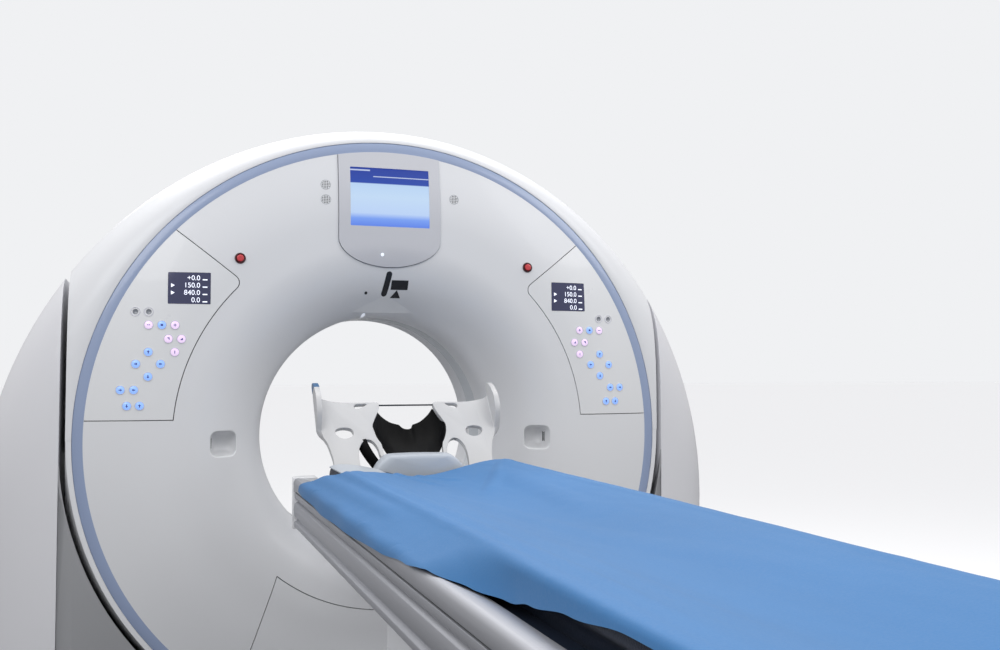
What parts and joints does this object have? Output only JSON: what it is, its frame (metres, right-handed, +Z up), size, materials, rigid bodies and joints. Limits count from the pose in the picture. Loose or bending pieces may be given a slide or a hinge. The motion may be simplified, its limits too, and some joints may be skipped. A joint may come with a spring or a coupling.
{
  "type": "ct scanner",
  "caption": "Tilting computed tomography scanner: ring-shaped gantry with a spinning rotor inside, and a lifting couch whose padded top slides into the bore.",
  "frame": {"origin": "on the floor under the isocentre, in the middle of the gantry's four anchor holes", "axes": "+Y along the bore, away from the couch; +X to the right of someone standing at the couch; +Z up"},
  "size_m": [2.45, 3.2677, 2.08],
  "materials": {
    "bright_steel": "ground",
    "brush_carbon": "matt",
    "carbon_black": "clear coat over carbon",
    "carbon_white": "gel coat",
    "cast_frame": "satin",
    "coil_copper": "enamelled",
    "couch_white": "satin",
    "cover_grey": "soft satin",
    "cover_white": "soft satin",
    "detector_green": "satin",
    "display_glass": "lit glass",
    "fin_aluminium": "extruded",
    "gear_brass": "machined",
    "generator_green": "satin",
    "key_film": "lit film",
    "lead_grey": "cast",
    "magnet_grey": "satin",
    "motor_black": "satin",
    "moulded_white": "satin",
    "pad_grey": "coated fabric",
    "pad_navy": "coated fabric",
    "painted_steel": "satin",
    "rail_aluminium": "anodised",
    "readout_glass": "dark glass",
    "sheet_blue": "non-woven",
    "stage_steel": "brushed",
    "stop_dark_red": "satin",
    "stop_red": "gloss",
    "trim_blue": "satin",
    "window_film": "translucent film"
  },
  "bodies": {
    "base": {"base_frame": "painted_steel", "levelling_screws": "bright_steel", "tilt_towers": "cast_frame", "tilt_bearings": "bright_steel", "tilt_motor": "motor_black", "side_cover_left": "cover_white", "side_cover_right": "cover_white", "lower_surrounds": "cover_grey", "cable_duct": "cover_grey", "couch_base": "couch_white", "lift_motor": "motor_black", "lower_stage": "stage_steel"},
    "drum": {"tilt_frame": "cast_frame", "bearing_outer_race": "bright_steel", "drive_stator": "coil_copper", "front_cover": "cover_white", "rear_cover": "cover_white", "top_cover": "cover_white", "drum_skirt": "cover_grey", "trim_rings": "trim_blue", "bore_window": "window_film", "bore_lip": "cover_white", "display_bezel": "cover_grey", "main_display": "display_glass", "lower_front_cover": "cover_white", "control_panels": "cover_white", "readouts": "readout_glass", "panel_keys": "key_film", "stop_collars": "stop_dark_red", "grip_recesses": "cover_grey", "tilt_sector": "gear_brass", "brush_block": "brush_carbon"},
    "rotor": {"rotor_ring": "cast_frame", "bearing_inner_race": "bright_steel", "drive_magnets": "magnet_grey", "xray_tube": "magnet_grey", "collimator": "lead_grey", "detector": "detector_green", "hv_generator": "generator_green", "heat_exchanger": "fin_aluminium", "counterweights": "lead_grey", "slip_ring": "gear_brass"},
    "tilt_pinion": {"tilt_pinion": "gear_brass"},
    "stop_left": {"stop_button_left": "stop_red"},
    "stop_right": {"stop_button_right": "stop_red"},
    "mid_stage": {"mid_stage": "stage_steel"},
    "couch_top": {"upper_stage": "couch_white", "couch_frame": "couch_white", "side_rails": "rail_aluminium", "front_end_cap": "couch_white", "rear_end_cap": "couch_white", "slide_drive": "motor_black"},
    "tabletop": {"tabletop": "carbon_white", "mattress": "pad_navy", "head_pad": "pad_grey", "sheet": "sheet_blue", "arm_support": "moulded_white", "head_holder": "carbon_black"}
  },
  "joints": [
    {"name": "gantry_tilt", "type": "hinge", "parent": "base", "child": "drum", "pos_m": [0, 0, 1.065], "axis": [-1, 0, 0], "range_deg": [-30, 24]},
    {"name": "tilt_pinion_spin", "type": "hinge", "parent": "base", "child": "tilt_pinion", "pos_m": [1.08, 0, 0.87], "axis": [-1, 0, 0], "range_deg": [-81, 101]},
    {"name": "rotor_spin", "type": "hinge", "parent": "drum", "child": "rotor", "pos_m": [0, 0, 1.065], "axis": [0, 1, 0], "continuous": true},
    {"name": "couch_lift", "type": "slide", "parent": "base", "child": "couch_top", "axis": [0, 0, 1], "range_m": [-0.45, 0.04]},
    {"name": "mid_stage_lift", "type": "slide", "parent": "base", "child": "mid_stage", "axis": [0, 0, 1], "range_m": [-0.226, 0.021]},
    {"name": "tabletop_slide", "type": "slide", "parent": "couch_top", "child": "tabletop", "axis": [0, 1, 0], "range_m": [0, 1.75]},
    {"name": "stop_press_left", "type": "slide", "parent": "drum", "child": "stop_left", "axis": [0, 1, 0], "range_m": [0, 0.004], "stiffness_N_per_m": 1500, "springref_m": -0.001},
    {"name": "stop_press_right", "type": "slide", "parent": "drum", "child": "stop_right", "axis": [0, 1, 0], "range_m": [0, 0.004], "stiffness_N_per_m": 1500, "springref_m": -0.001}
  ],
  "couplings": [
    {"joint": "tilt_pinion_spin", "follows": "gantry_tilt", "ratio": -3.3333},
    {"joint": "mid_stage_lift", "follows": "couch_lift", "ratio": 0.5}
  ]
}
